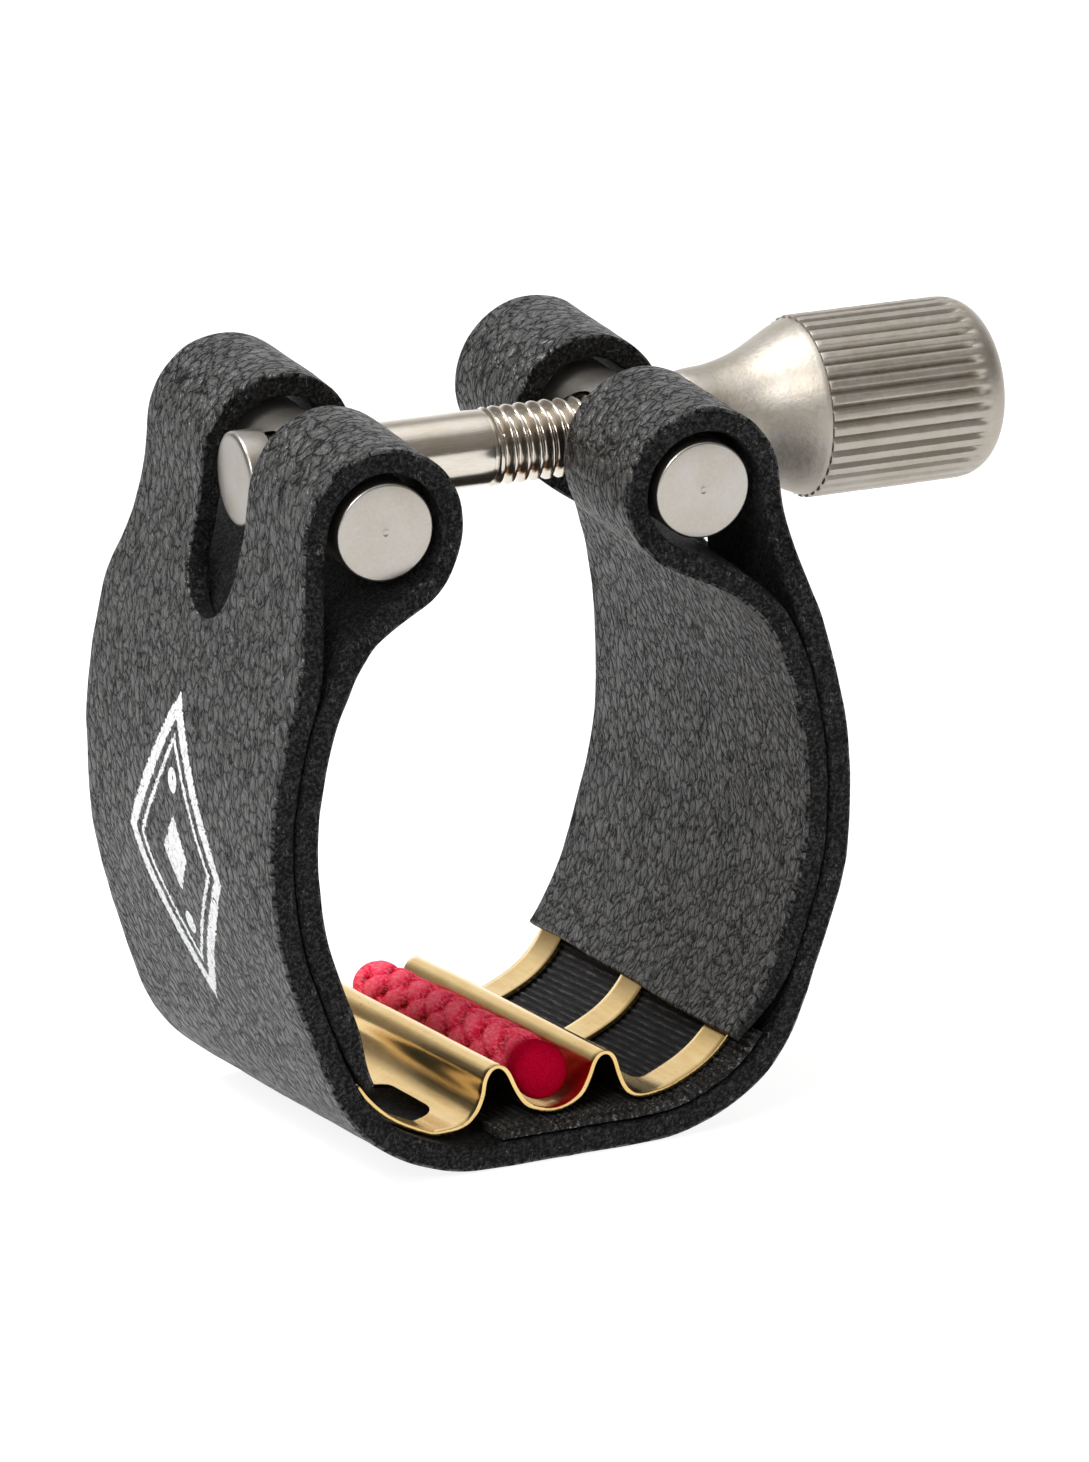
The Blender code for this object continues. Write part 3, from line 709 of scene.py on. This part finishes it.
def strap_half(side, name, face_material, edge_material):
    """One half of the strap as a closed, edge-rounded solid, from the base's middle to its lap."""
    line = strap_line(LAP[side])
    rows = strap_rows(line)
    way = travel(line[:, :2])
    normals = left_normals(line[:, :2])
    slot_start, slot_end = slot_ends(line)
    length = rows[-1]

    def line_at(places):
        """x, height, half thickness and normal at places along the line."""
        x, height, half = (np.interp(places, way, line[:, axis]) for axis in range(3))
        across, up = (np.interp(places, way, normals[:, axis]) for axis in range(2))
        size = np.hypot(across, up)
        return x, height, half, across / size, up / size

    def slot_half_width(place):
        """Half the slot's width at a place along the line, 0 outside it."""
        if place <= slot_start or place >= slot_end:
            return 0.0
        inside = min(place - slot_start, slot_end - place)
        if inside >= SLOT_HALF_WIDTH:
            return SLOT_HALF_WIDTH
        return math.sqrt(SLOT_HALF_WIDTH ** 2 - (SLOT_HALF_WIDTH - inside) ** 2)

    points, uvs, faces, kinds = [], [], [], []
    for panel in (-1, 1):
        tops, unders, flat = [], [], []
        for place in rows:
            _, height, *_ = line_at(place)
            outer = front_reach(height) if panel < 0 else rear_reach(height)
            opening = slot_half_width(place)
            low, high = (-outer, -opening) if panel < 0 else (opening, outer)
            reach = panel_reaches(low, high)
            columns = len(reach)
            centre = np.clip(place, slot_start + SLOT_HALF_WIDTH, slot_end - SLOT_HALF_WIDTH)
            slot_distance = np.hypot(reach, place - centre) - SLOT_HALF_WIDTH
            edge = np.minimum(np.abs(outer - np.abs(reach)), np.abs(slot_distance))
            edge = np.minimum(edge, length - place)
            # The lining's end is cut a little askew, longer at the front.
            skew = LAP_SKEW * np.clip(-reach / KNUCKLE_HALF_WIDTH, -1.0, 1.0)
            x, height, half, across, up = line_at(
                place + (skew - LAP_SKEW) * smooth_step(place, length - 7.0, length))
            thick = edge_rounding(edge, half, np.minimum(0.15, half * 0.6))
            for store, sign in ((tops, -1.0), (unders, 1.0)):
                store.append(strap_points(x + sign * thick * across, height + sign * thick * up, reach))
            flat.append(np.column_stack([reach, np.full(columns, place)]))
        start = sum(len(block) for block in points)
        count = len(rows) * columns
        points += [np.vstack(tops), np.vstack(unders)]
        uvs += [np.vstack(flat), np.vstack(flat)]
        upper = grid_faces(len(rows), columns, start)
        lower = grid_faces(len(rows), columns, start + count)
        faces += upper + lower
        kinds += [0] * len(upper) + [1] * len(lower)
        outer_column = 0 if panel < 0 else columns - 1
        inner_column = columns - 1 - outer_column
        for row in range(len(rows) - 1):
            edges = [outer_column]
            if slot_half_width(rows[row]) > 0 or slot_half_width(rows[row + 1]) > 0:
                edges.append(inner_column)
            for column in edges:
                a = start + row * columns + column
                b = a + columns
                faces.append((a, b, b + count, a + count))
                kinds.append(1)
        for row in (0, len(rows) - 1):
            for column in range(columns - 1):
                a = start + row * columns + column
                faces.append((a, a + 1, a + 1 + count, a + count))
                kinds.append(1)
    points = np.vstack(points)
    uvs = np.vstack(uvs)
    points = wobble(points, 5.0, 0.10, 1.0)
    points = wobble(points, 1.3, 0.03, 2.0)
    points[:, 0] = np.where(uvs[:, 1] < 1e-6, 0.0, points[:, 0])
    points[:, 0] *= side
    obj = mesh_object(name, points, faces, [face_material, edge_material], kinds, uvs)
    return smooth_shaded(weld(obj, 2e-6), 62)


# ---- inside the base


def base_half(depth, end_gap):
    """The right half of a line inside the base, at a depth from the outer face."""
    face = catmull_rom(OUTER_SIDE, SPAN_STEPS)
    split = SPAN_STEPS * OUTER_SIDE.index(SPLIT_POINT)
    line = (face + left_normals(face) * depth)[:split + 1]
    way = travel(line)
    keep = way < way[-1] - end_gap
    return np.vstack([line[keep], resampled(line, np.array([way[-1] - end_gap]))])


def add_webbing(material):
    """The ribbed pad, with fine ribs across the strap and slightly frayed front and rear edges."""
    depth = BASE_LEATHER + LAYER_GAP + WEBBING / 2
    left = base_half(depth, WEBBING_LEFT_GAP) * np.array([-1.0, 1.0])
    line = np.vstack([left[:0:-1], base_half(depth, WEBBING_RIGHT_GAP)])
    places = np.arange(0.0, travel(line)[-1], 0.045)
    rows = resampled(line, places)
    normals = left_normals(rows)
    ribs = RIB_HEIGHT * np.sin(places * math.tau / RIB_PITCH)
    columns = 34
    share = np.linspace(0.0, 1.0, columns)
    tops, unders, flat = [], [], []
    for place, (x, height), normal, rib in zip(places, rows, normals, ribs):
        fray = 0.06 * noise.noise(Vector((place * 2.3, 0.0, 5.0)))
        low = -(front_reach(height) - 0.15 + fray)
        high = rear_reach(height) - 0.3 - fray
        reach = low + (high - low) * share
        edge = np.minimum(reach - low, high - reach)
        top = WEBBING / 2 - 0.05 + rib - 0.10 * np.clip(1.0 - edge / 0.8, 0.0, 1.0) ** 2
        for store, offset in ((tops, top), (unders, np.full(columns, -WEBBING / 2))):
            store.append(strap_points(x + offset * normal[0], height + offset * normal[1], reach))
        flat.append(np.column_stack([reach, np.full(columns, place)]))
    obj = mesh_object("webbing", np.vstack([*tops, *unders]), slab_faces(len(rows), columns), [material],
                      uv=np.vstack([*flat, *flat]))
    return smooth_shaded(weld(obj), 60)


def rounded_box(name, low, high, radius, thickness):
    """A flat cutter with rounded corners, standing across z = 0."""
    outline = []
    corners = [(high[0] - radius, high[1] - radius, 0), (low[0] + radius, high[1] - radius, 90),
               (low[0] + radius, low[1] + radius, 180), (high[0] - radius, low[1] + radius, 270)]
    for x, y, start in corners:
        for step in range(7):
            angle = math.radians(start + 15 * step)
            outline.append((x + radius * math.cos(angle), y + radius * math.sin(angle)))
    count = len(outline)
    points = [(x, y, z) for z in (-thickness, thickness) for x, y in outline]
    faces = [tuple(range(count)), tuple(range(count, 2 * count))]
    faces += [(i, (i + 1) % count, count + (i + 1) % count, count + i) for i in range(count)]
    return weld(mesh_object(name, points, faces, []))


def plate_middle():
    """The plate's middle line: a flange on the leather, two ridges, and a bend on the webbing."""
    on_leather = BASE_LEATHER + LAYER_GAP + CAD_SHEET / 2
    bend = base_half(on_leather + WEBBING + LAYER_GAP, PLATE_END_GAP)
    bend = bend[bend[:, 0] > FINGER_ROOT_X]
    left = base_half(on_leather, PLATE_END_GAP)[::-1] * np.array([-1.0, 1.0])
    left = left[left[:, 0] < LEFT_BEND_X]
    ridges = catmull_rom([left[-1], *PLATE_RIDGES, bend[0]], 10)
    line = smoothed(np.vstack([left[:-1], ridges, bend[1:]]), 0.25)
    return line[travel(line) > PLATE_LEFT_TRIM]


def add_plate(material):
    """The reed plate: cut out flat with rounded windows, edges eased, then bent to its line."""
    line = plate_middle()
    way = travel(line)
    length = way[-1]
    xs = np.linspace(0.0, length, 190)
    ys = np.linspace(PLATE_FRONT_Y, PLATE_REAR_Y, 60)
    grid = np.array([(x, y) for x in xs for y in ys])
    count = len(grid)
    points = np.vstack([np.column_stack([grid, np.full(count, SHEET / 2)]),
                        np.column_stack([grid, np.full(count, -SHEET / 2)])])
    plate = weld(mesh_object("brass_reed_plate", points, slab_faces(len(xs), len(ys)), [material]))
    root = np.interp(FINGER_ROOT_X, line[:, 0], way)
    window = np.interp(WINDOW_X, line[:, 0], way)
    middle = (PLATE_FRONT_Y + PLATE_REAR_Y) / 2
    cutters = []
    for low, high in ((PLATE_FRONT_Y + FINGER_WIDTH, middle - FINGER_WIDTH / 2),
                      (middle + FINGER_WIDTH / 2, PLATE_REAR_Y - FINGER_WIDTH)):
        cutters.append(rounded_box("gap", (root, low), (length + 3.0, high), GAP_CORNER, 1.0))
        cutters.append(rounded_box("window", (window[0], low), (window[1], high), WINDOW_CORNER, 1.0))
    cut_with(plate, *cutters)
    bevel = plate.modifiers.new("ease", "BEVEL")
    bevel.width = 0.045 * MM
    bevel.segments = 2
    bevel.limit_method = "ANGLE"
    bevel.angle_limit = math.radians(60)
    apply_modifiers(plate)
    flat = np.array([vertex.co for vertex in plate.data.vertices], float) / MM
    normals = left_normals(line)
    bent = np.empty_like(flat)
    for axis, target in ((0, 0), (1, 2)):
        centre = np.interp(flat[:, 0], way, line[:, axis])
        normal = np.interp(flat[:, 0], way, normals[:, axis])
        bent[:, target] = centre + normal * flat[:, 2]
    bent[:, 1] = flat[:, 1]
    # The pressed ridges wander by a few hundredths of a millimetre.
    bent = wobble(bent, 7.0, 0.05, 3.0)
    plate.data.vertices.foreach_set("co", (bent * MM).ravel())
    return smooth_shaded(plate, 35)


def add_cord(material):
    """A plaited cord: six columns of slanted lumps in a staggered herringbone, melted at its ends."""
    low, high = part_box("cushion_cord")
    centre = (low + high) / 2 / MM
    y_low, y_high = low.y / MM, high.y / MM
    columns, pitch, around = 6, 2.76, 120
    ys = np.arange(y_low, y_high + 0.001, 0.075)
    ys = np.concatenate([y_low + np.array([0.0, 0.02]), ys[1:-1], y_high - np.array([0.02, 0.0])])
    angles = np.linspace(0.0, math.tau, around, endpoint=False)
    y, angle = np.meshgrid(ys, angles, indexing="ij")
    # A slight twist, because the plait isn't laid quite true.
    u = (angle + 0.035 * (y - y_low)) * columns / math.tau + 0.25
    crown = np.zeros_like(u)
    for step in (-1, 0, 1):
        column = np.floor(u) + step
        odd = np.mod(column, 2)
        across = (u - column - 0.5) * (math.tau * 1.25 / columns)
        for row in (-1, 0, 1):
            base = np.floor(y / pitch - 0.5 * odd) + row + 0.5 + 0.5 * odd
            wander = 0.10 * np.sin(12.9898 * base + 4.1 * column)
            along = (y / pitch - base - wander) * pitch
            slant = np.where(odd > 0.5, 1.0, -1.0) * math.radians(33)
            a = along * np.cos(slant) + across * np.sin(slant)
            b = -along * np.sin(slant) + across * np.cos(slant)
            lump = 1.0 - (a / 1.75) ** 2 - (b / 0.90) ** 2
            crown = np.maximum(crown, np.sqrt(np.clip(lump, 0.0, 1.0)))
    front = 1.0 - smooth_step(y, y_low + 0.9, y_low + 2.3)
    rear = smooth_step(y, y_high - 2.4, y_high - 1.2)
    calm = np.maximum(front, rear * 0.8)
    crown = crown * (1.0 - calm) + (0.86 + 0.05 * np.sin(3 * angle + y)) * calm
    radius = 0.99 + 0.46 * crown
    # Rounded ends.
    ends = np.minimum(y - y_low, y_high - y)
    round_off = np.clip(1.0 - ends / 0.95, 0.0, 1.0)
    radius = radius * np.sqrt(np.maximum(1.0 - round_off ** 2.4, 0.0)) + 0.02
    radius *= 1.0 + 0.03 * np.sin(0.9 * y + 1.0)
    radius = np.minimum(radius, CORD_RADIUS * 1.01)
    # The melted end has slumped a little onto the plate.
    slump = 1.0 - smooth_step(y, y_low + 0.4, y_low + 2.6)
    radius *= 1.0 + 0.05 * slump
    height = centre[2] - 0.10 * slump
    points = np.stack([centre[0] + radius * np.cos(angle), y, height + radius * np.sin(angle)],
                      axis=-1).reshape(-1, 3)
    faces = grid_faces(len(ys), around, closed=True)
    faces.append(tuple(range(around)))
    faces.append(tuple(range(len(points) - around, len(points))))
    obj = mesh_object("plaited_cord", points, faces, [material])
    for name, values in (("crown", crown), ("melt", 1.0 - smooth_step(y, y_low + 1.5, y_low + 2.9))):
        attribute = obj.data.attributes.new(name, "FLOAT", "POINT")
        attribute.data.foreach_set("value", values.astype(np.float32).ravel())
    return weld(obj, 1e-9)


# ---- metal pieces


def add_pin(side, name, material):
    """A barrel pin with eased ends, a turning pip in each face and the screw's cross bore."""
    centre = np.array([side * PIN_X, PIN_CENTRE_Y, PIN_HEIGHT])
    radius = PIN_RADIUS
    half = 0.5 * PIN_LENGTH
    profile = [(-half + 0.02, 0.0001), (-half + 0.02, 0.10), (-half - 0.02, 0.17), (-half, 0.24),
               (-half, 1.2), (-half, radius - 0.14), (-half + 0.04, radius - 0.05),
               (-half + 0.14, radius), (-half + 1.0, radius)]
    steps = np.linspace(-half + 1.6, 0.0, 14)
    profile += [(x, radius) for x in steps]
    profile += [(-x, r) for x, r in reversed(profile[:-1])]
    pin = turned(name, profile, 96, material, (0.0, 0.0, 0.0), sharp=50)
    turn = Matrix.Translation(Vector(centre) * MM) @ Matrix.Rotation(PIN_PITCH, 4, "X")
    pin.data.transform(turn @ Matrix.Rotation(math.pi / 2, 4, "Z"))
    cutters = [turned("bore", [(-4.0, BORE_RADIUS), (4.0, BORE_RADIUS)], 48, material, centre)]
    if side < 0:
        seat = [(SEAT_X - 1.8, SEAT_RADIUS), (SEAT_X, SEAT_RADIUS)]
        cutters.append(turned("seat", seat, 64, material, SCREW_CENTRE))
    return smooth_shaded(cut_with(pin, *cutters), 40)


def add_rod(material):
    """The screw's rod: a polished shank, a small relief and a rounded right-hand thread."""
    low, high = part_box("screw_rod")
    x_low, x_high = low.x / MM, high.x / MM
    start, end, pitch = THREAD_START, THREAD_END, THREAD_PITCH

    def thread(x, angle):
        turn = (x - start) / pitch + angle / math.tau
        wave = 0.5 - 0.5 * np.cos(math.tau * turn)
        depth = np.clip(1.0 - np.abs(np.mod(turn, 1.0) - 0.5) / 0.5, 0.0, 1.0)
        depth = 0.5 * depth + 0.5 * wave
        window = smooth_step(x, start + 0.05, start + 0.5) * (1.0 - smooth_step(x, end - 0.6, end - 0.1))
        return -THREAD_DEPTH * np.clip(1.25 * depth - 0.18, 0.0, 1.0) * window

    rows = [(x_low, 1.2), (-10.2, 1.2), (-10.2, 1.88), (-10.1, SHANK_RADIUS)]
    rows += [(x, SHANK_RADIUS) for x in np.linspace(-9.8, start - 0.35, 20)]
    rows += [(start - 0.22, 1.94), (start - 0.16, 1.84), (start - 0.04, 1.84), (start + 0.04, 1.96)]
    rows += [(x, 2.01) for x in np.arange(start + 0.08, end - 0.06, pitch / 22)]
    rows += [(end, 1.6), (x_high, 1.6)]
    return turned("threaded_rod", rows, 72, material, SCREW_CENTRE, thread, 50)


def add_cap(material):
    """The screw's end cap: a short drum with a very slightly crowned face."""
    low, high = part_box("screw_end_cap")
    face_x, seat_x = low.x / MM, high.x / MM
    radius = CAP_RADIUS
    rows = [(seat_x - 1.15, 1.4), (seat_x, 1.4), (seat_x, radius - 0.12), (seat_x - 0.03, radius - 0.04),
            (seat_x - 0.12, radius), (seat_x - 0.7, radius), (face_x + 0.28, radius),
            (face_x + 0.18, radius - 0.03), (face_x + 0.11, radius - 0.12)]
    rows += [(face_x + 0.09 * (r / radius) ** 2, r) for r in np.linspace(radius - 0.22, 0.0, 16)]
    return turned("screw_cap", rows, 96, material, SCREW_CENTRE, sharp=40)


def add_knob(material):
    """The thumb knob: a waisted neck, coarse straight knurling that fades into a domed end."""
    low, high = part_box("thumb_knob")
    face_x, end_x = low.x / MM, high.x / MM
    radius = KNOB_RADIUS
    neck = [(face_x, 2.25), (face_x + 0.08, 2.42), (face_x + 0.22, 2.56), (12.6, 2.64), (13.1, 2.68),
            (13.7, 2.72), (14.3, 2.82), (14.9, 2.96), (15.5, 3.14), (16.1, 3.38), (16.7, 3.67),
            (17.3, 3.97), (17.9, 4.27), (18.5, 4.52)]
    neck = catmull_rom(neck, 4)
    rows = [(19.9, 1.8), (face_x, 1.8)] + [tuple(point) for point in neck]
    rows += [(KNURL_START + 0.02, 4.54), (KNURL_START + 0.05, radius - 0.03)]
    rows += [(x, radius) for x in np.linspace(KNURL_START + 0.12, KNURL_END, 34)]
    dome = end_x - KNURL_END
    for step in range(1, 22):
        angle = math.radians(90) * step / 21
        rows.append((KNURL_END + dome * math.sin(angle), radius - 2.7 * (1 - math.cos(angle)) ** 1.15))
    last = rows[-1][1]
    rows += [(end_x, r) for r in np.linspace(last, 0.0, 6)[1:]]

    def knurl(x, angle):
        turn = np.mod(angle * KNURL_RIBS / math.tau, 1.0)
        groove = np.clip(1.0 - np.abs(turn - 0.5) / 0.27, 0.0, 1.0)
        rise = smooth_step(x, KNURL_START + 0.02, KNURL_START + 0.05)
        fade = 1.0 - smooth_step(x, KNURL_END - 0.55 + 0.5 * (1 - groove), KNURL_END + 0.75)
        rough = np.sin(37.0 * angle + 5.0 * np.sin(2.1 * x)) * np.sin(7.3 * x + 11.0 * angle)
        return (-0.31 * groove + 0.012 * rough) * rise * fade

    return turned("thumb_knob_turned", rows, KNURL_RIBS * 12, material, SCREW_CENTRE, knurl, 32)


# ---- the stage


def add_floor():
    """A floor far wider than the view."""
    size = FLOOR_HALF
    points = [(x, y, FLOOR_HEIGHT) for x, y in ((-size, -size), (size, -size), (size, size), (-size, size))]
    floor = mesh_object("floor", points, [(0, 1, 2, 3)], [floor_material()])


def add_area(name, place, target, size, power):
    """A white square lamp at a place in metres, turned towards its target."""
    data = bpy.data.lights.new(name, "AREA")
    data.size = size
    data.energy = power
    light = bpy.data.objects.new(name, data)
    bpy.context.scene.collection.objects.link(light)
    light.location = place
    light.rotation_euler = (Vector(target) - Vector(place)).to_track_quat("-Z", "Y").to_euler()


def add_world():
    """A studio surround: a white backdrop behind the object, and a dimmer, warmer room elsewhere."""
    world = bpy.data.worlds.new("studio")
    bpy.context.scene.world = world
    world.use_nodes = True
    tree = world.node_tree
    background = tree.nodes["Background"]
    place = tree.nodes.new("ShaderNodeTexCoord")
    split = tree.nodes.new("ShaderNodeSeparateXYZ")
    tree.links.new(place.outputs["Generated"], split.inputs[0])

    def share(output, low, high):
        node = tree.nodes.new("ShaderNodeMapRange")
        node.interpolation_type = "SMOOTHSTEP"
        tree.links.new(split.outputs[output], node.inputs[0])
        node.inputs[1].default_value = low
        node.inputs[2].default_value = high
        return node.outputs[0]

    def multiply(a, b):
        node = tree.nodes.new("ShaderNodeMath")
        node.operation = "MULTIPLY"
        tree.links.new(a, node.inputs[0])
        tree.links.new(b, node.inputs[1])
        return node.outputs[0]

    def by_height(stops):
        node = tree.nodes.new("ShaderNodeValToRGB")
        tree.links.new(split.outputs["Z"], node.inputs["Fac"])
        while len(node.color_ramp.elements) < len(stops):
            node.color_ramp.elements.new(1.0)
        for element, (height, level, tint) in zip(node.color_ramp.elements, stops):
            element.position = height
            element.color = (level, level * (1.0 - tint), level * (1.0 - 2.0 * tint), 1.0)
        return node.outputs["Color"]

    room = by_height([(0.0, 0.20, 0.09), (0.25, 0.24, 0.09), (0.74, 0.36, 0.07), (0.94, 1.40, 0.01)])
    backdrop = by_height([(0.0, 1.0, 0.0), (0.20, 1.0, 0.0), (0.42, 0.74, 0.0), (0.75, 0.36, 0.01)])
    mask = multiply(share("Y", 0.15, 0.60), share("X", -0.42, -0.08))
    colour = tree.nodes.new("ShaderNodeMix")
    colour.data_type = "RGBA"
    for source, index in ((mask, 0), (room, 6), (backdrop, 7)):
        tree.links.new(source, colour.inputs[index])
    tree.links.new(colour.outputs[2], background.inputs["Color"])
    # The backdrop is brighter than the room in proportion to its mask.
    lift = tree.nodes.new("ShaderNodeMath")
    lift.operation = "MULTIPLY_ADD"
    tree.links.new(mask, lift.inputs[0])
    lift.inputs[1].default_value = 0.5
    lift.inputs[2].default_value = 1.0
    tree.links.new(lift.outputs[0], background.inputs["Strength"])


def add_camera():
    """The view from the front left, low and far off, through a long lens."""
    data = bpy.data.cameras.new("camera")
    camera = bpy.data.objects.new("camera", data)
    bpy.context.scene.collection.objects.link(camera)
    data.sensor_width = 36.0
    data.lens = CAMERA_LENS
    data.clip_start = 0.01
    data.clip_end = 100.0
    place = Vector(CAMERA_PLACE) * MM
    target = Vector(CAMERA_TARGET) * MM
    look = (target - place).to_track_quat("-Z", "Y").to_matrix().to_4x4()
    camera.matrix_world = Matrix.Translation(place) @ look @ Matrix.Rotation(CAMERA_ROLL, 4, "Z")
    bpy.context.scene.camera = camera


# ---- build

# noise_vector takes its offsets from the clock unless it is seeded.
noise.seed_set(NOISE_SEED)
leather = leather_material("black_leather", lean=-32.0)
leather_printed = leather_material("black_leather_printed", lean=40.0, printed=True)
cut_edge = cut_edge_material()
# The four nickel pieces share one plating; the satin, drum and faced copies get darker tints than the
# polished one to dim those pieces, as painted shade.
satin = nickel_material("satin_nickel", 0.38, 0.54, (0.5, 0.5, 0.5), 0.022, (0.43, 0.405, 0.37))
drum = nickel_material("drum_nickel", 0.28, 0.42, (0.5, 0.5, 0.5), 0.010, (0.38, 0.365, 0.345))
polished = nickel_material("polished_nickel", 0.10, 0.20, (0.25, 2.0, 2.0), 0.004, (0.66, 0.62, 0.565))
faced = nickel_material("faced_nickel", 0.26, 0.40, (1.0, 1.0, 1.0), 0.006, (0.46, 0.44, 0.415))

for side, label, face in ((-1, "left", leather_printed), (1, "right", leather)):
    half = strap_half(side, f"leather_strap_{label}", face, cut_edge)
    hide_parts(f"strap_{label}_arm", "strap_base")
    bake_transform(half)

webbing = add_webbing(webbing_material())
plate = add_plate(brass_material())
cord = add_cord(cord_material())
for piece, node, slot in ((webbing, "webbing_pad", "webbing"), (plate, "reed_plate", "plate_brass"),
                          (cord, "cushion_cord", "cord")):
    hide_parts(node)
    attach(piece, "base")

for side, label in ((-1, "left"), (1, "right")):
    pin = add_pin(side, f"barrel_pin_{label}", faced)
    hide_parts(f"{label}_pin")
    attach(pin, f"{label}_pin")

for piece, node in ((add_rod(polished), "screw_rod"), (add_cap(drum), "screw_end_cap"),
                    (add_knob(satin), "thumb_knob")):
    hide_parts(node)
    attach(piece, "screw")

add_floor()
add_world()
add_area("top_left", (-0.42, 0.10, 0.88), (0.0, 0.0, 0.02), 0.4, 9.0)
add_area("front_left", (-0.55, -0.70, 0.62), (0.0, 0.0, 0.02), 0.3, 5.0)
add_camera()
bpy.context.scene.view_settings.view_transform = "Standard"
